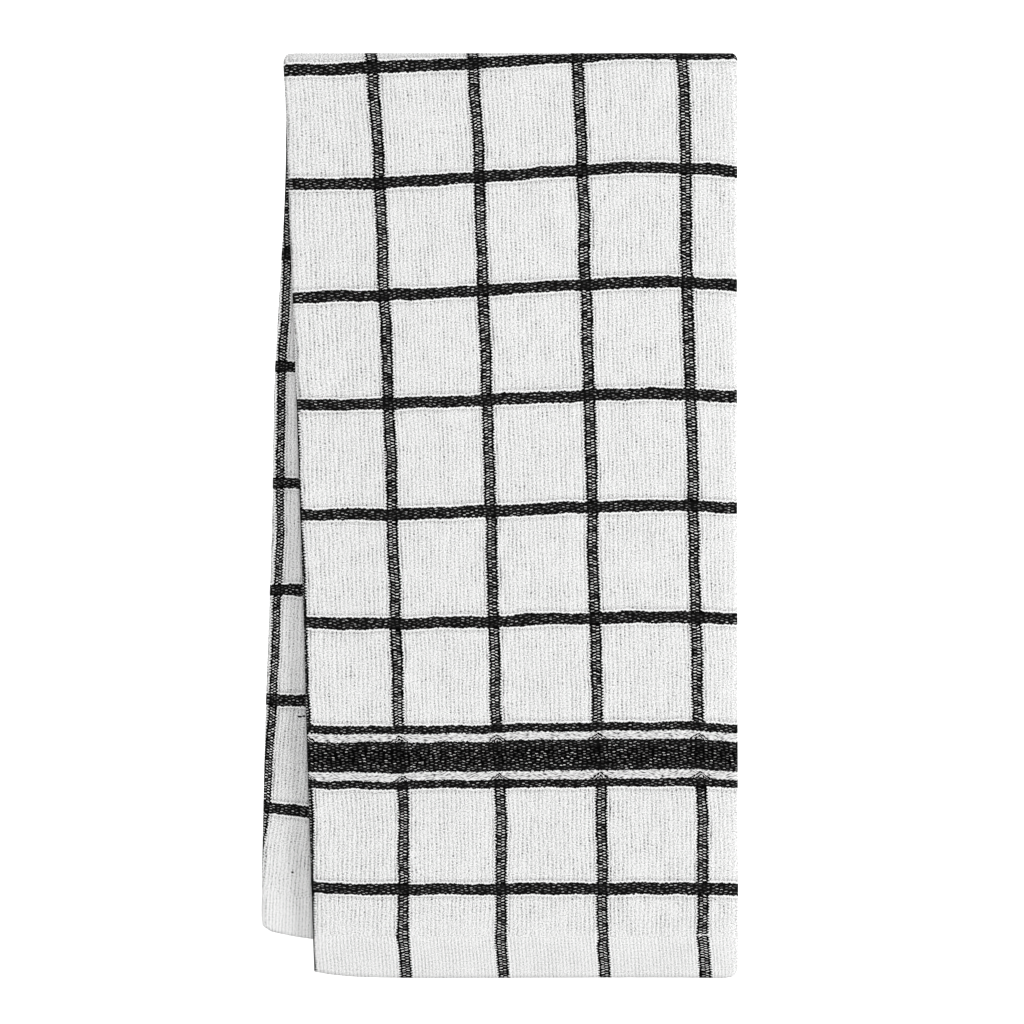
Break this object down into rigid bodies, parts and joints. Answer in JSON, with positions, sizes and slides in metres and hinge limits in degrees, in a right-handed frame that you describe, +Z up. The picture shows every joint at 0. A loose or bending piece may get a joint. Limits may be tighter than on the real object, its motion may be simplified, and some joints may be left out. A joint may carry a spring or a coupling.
{
  "type": "tea towel",
  "caption": "White cotton tea towel with a black windowpane check and an end band, folded lengthwise in thirds and then in half, lying flat.",
  "frame": {"origin": "centre of the folded towel's outline, on the surface that it lies on", "axes": "+Z up from the surface, +Y along the folded strip towards the crosswise crease, +X to the right of someone who looks down with the crease away from them"},
  "size_m": [0.1863, 0.3623, 0.0107],
  "materials": {
    "cotton": "matt white cotton with a ribbed weave and woven black lines"
  },
  "bodies": {
    "root": {"tea_towel": "cotton"}
  },
  "joints": []
}
